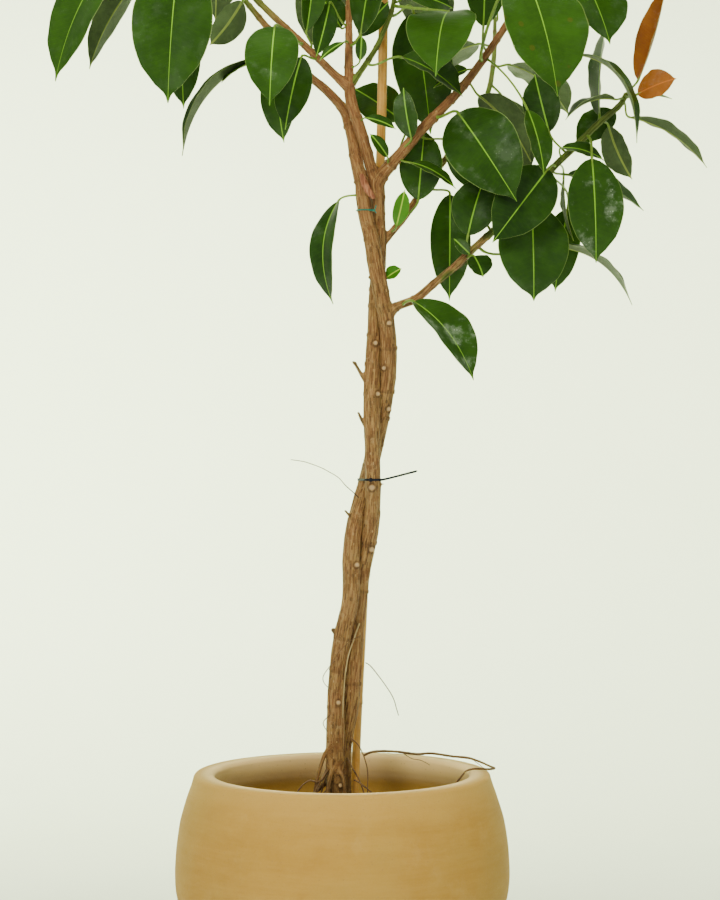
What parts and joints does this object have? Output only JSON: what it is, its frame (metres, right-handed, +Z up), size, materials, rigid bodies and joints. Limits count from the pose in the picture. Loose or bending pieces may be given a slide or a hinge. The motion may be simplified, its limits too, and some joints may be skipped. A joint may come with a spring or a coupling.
{
  "type": "potted rubber plant",
  "caption": "Tall rubber plant with twined stems on a bamboo cane and large glossy leaves, growing in a round clay pot",
  "frame": {"origin": "centre of the pot's flat underside, on the floor", "axes": "+Z up along the stems, +X to the right and +Y to the back as seen from the side with the big low limb on the right"},
  "size_m": [0.8811, 0.451, 1.79],
  "materials": {
    "pot_clay": "matt unglazed clay, mottled buff and ochre",
    "potting_soil": "loose dark potting mix",
    "bark": "fine grey-brown bark with pale scars",
    "bamboo": "dry bamboo, satin",
    "green_wire": "plastic-coated wire",
    "black_plastic": "satin black plastic",
    "root": "dry root skin",
    "dry_sheath": "dry papery leaf sheath",
    "leaf": "glossy green upper side, matt underside",
    "young_shoot": "green young twig and leaves, glossy"
  },
  "bodies": {
    "root": {"pot": "pot_clay", "potting_soil": "potting_soil", "front_stem": "bark", "rear_stem": "bark", "bamboo_cane": "bamboo", "green_wire_tie": "green_wire", "black_cable_tie": "black_plastic", "runner_root": "root", "clinging_root": "root", "aerial_root_upper": "root", "aerial_root_lower": "root", "dry_leaf_sheath": "dry_sheath", "leaf_01": "leaf", "leaf_02": "leaf", "leaf_03": "leaf", "leaf_04": "leaf", "leaf_05": "leaf", "leaf_06": "leaf", "leaf_07": "leaf", "leaf_08": "leaf", "leaf_09": "leaf", "leaf_10": "leaf", "leaf_11": "leaf", "leaf_12": "leaf", "leaf_13": "leaf", "leaf_14": "leaf", "leaf_15": "leaf", "leaf_16": "leaf", "leaf_17": "leaf", "leaf_18": "leaf", "leaf_19": "leaf", "leaf_20": "leaf", "leaf_21": "leaf", "leaf_22": "leaf", "leaf_23": "leaf", "leaf_24": "leaf", "leaf_25": "leaf", "leaf_26": "leaf", "leaf_27": "leaf", "leaf_28": "leaf", "leaf_29": "leaf", "leaf_30": "leaf", "leaf_31": "leaf", "leaf_32": "leaf", "leaf_33": "leaf", "leaf_34": "leaf", "leaf_35": "leaf", "leaf_36": "leaf", "leaf_37": "leaf", "leaf_38": "leaf", "leaf_39": "leaf", "leaf_40": "leaf", "leaf_41": "leaf", "leaf_42": "leaf", "leaf_43": "leaf", "left_shoot": "young_shoot", "top_shoot": "young_shoot", "middle_shoot": "young_shoot", "right_shoot": "young_shoot", "rear_shoot": "young_shoot"}
  },
  "joints": []
}
